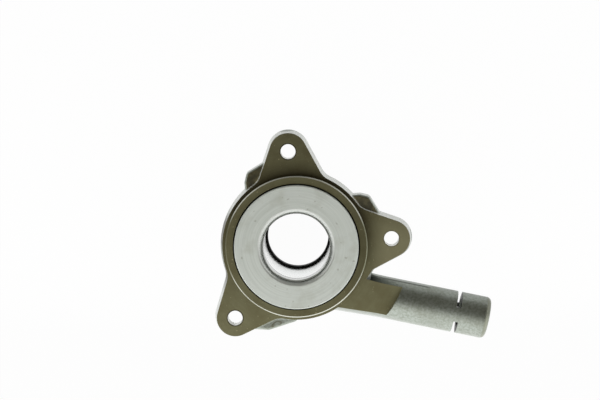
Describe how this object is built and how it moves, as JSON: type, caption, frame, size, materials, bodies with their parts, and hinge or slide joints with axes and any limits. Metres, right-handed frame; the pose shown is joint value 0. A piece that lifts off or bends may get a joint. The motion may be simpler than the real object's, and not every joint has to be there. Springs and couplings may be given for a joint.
{
  "type": "clutch slave cylinder",
  "caption": "Concentric clutch slave cylinder: die-cast flange with screw ears and a side hydraulic port, guide sleeve, annular piston, preload spring, dust boot and release bearing.",
  "frame": {"origin": "where the release axis crosses the machined mounting plane of the ears", "axes": "+Z along the release axis towards the gearbox, +X towards the side that the hydraulic port leaves, +Y up in the picture"},
  "size_m": [0.1206, 0.0909, 0.0645],
  "materials": {
    "cast_aluminium": "die-cast, machined faces lightly oxidised to an olive grey",
    "turned_steel": "matte turned",
    "sleeve_steel": "drawn and polished",
    "spring_steel": "oiled spring wire",
    "bearing_steel": "ground",
    "ball_steel": "polished",
    "plated_steel": "zinc plated",
    "black_rubber": "moulded",
    "black_plastic": "glass-filled",
    "pale_plastic": "natural nylon"
  },
  "bodies": {
    "housing_body": {"housing": "cast_aluminium", "sleeve_flange": "turned_steel", "sleeve_o_ring": "black_rubber", "guide_sleeve": "sleeve_steel", "stop_ring": "spring_steel", "sleeve_end_seal": "black_rubber", "preload_spring": "spring_steel", "dust_boot": "black_rubber", "boot_clamp": "plated_steel"},
    "piston_body": {"piston": "black_plastic", "piston_guide_ring": "pale_plastic", "sleeve_wiper": "black_rubber", "seal_support_ring": "pale_plastic", "piston_seal": "black_rubber", "spring_plate": "plated_steel", "bearing_retainer": "plated_steel"},
    "centring_body": {"centring_spring": "spring_steel"},
    "fixed_ring_body": {"bearing_fixed_ring": "bearing_steel", "bearing_seal_rear": "black_rubber", "bearing_seal_front": "black_rubber"},
    "cage_body": {"bearing_cage": "pale_plastic", "bearing_balls": "ball_steel"},
    "contact_body": {"contact_ring": "bearing_steel"}
  },
  "joints": [
    {"name": "piston_slide", "type": "slide", "parent": "housing_body", "child": "piston_body", "axis": [0, 0, 1], "range_m": [0, 0.014], "stiffness_N_per_m": 610, "springref_m": -0.05, "deforming": ["preload_spring", "dust_boot"]},
    {"name": "bearing_shift_x", "type": "slide", "parent": "piston_body", "child": "centring_body", "axis": [1, 0, 0], "range_m": [-0.0007, 0.0007]},
    {"name": "bearing_shift_y", "type": "slide", "parent": "centring_body", "child": "fixed_ring_body", "axis": [0, 1, 0], "range_m": [-0.0007, 0.0007]},
    {"name": "bearing_spin", "type": "hinge", "parent": "fixed_ring_body", "child": "contact_body", "pos_m": [0, 0, -0.0529], "axis": [0, 0, 1], "continuous": true},
    {"name": "cage_spin", "type": "hinge", "parent": "fixed_ring_body", "child": "cage_body", "pos_m": [0, 0, -0.0529], "axis": [0, 0, 1], "continuous": true}
  ],
  "couplings": [
    {"joint": "cage_spin", "follows": "bearing_spin", "ratio": 0.45}
  ]
}
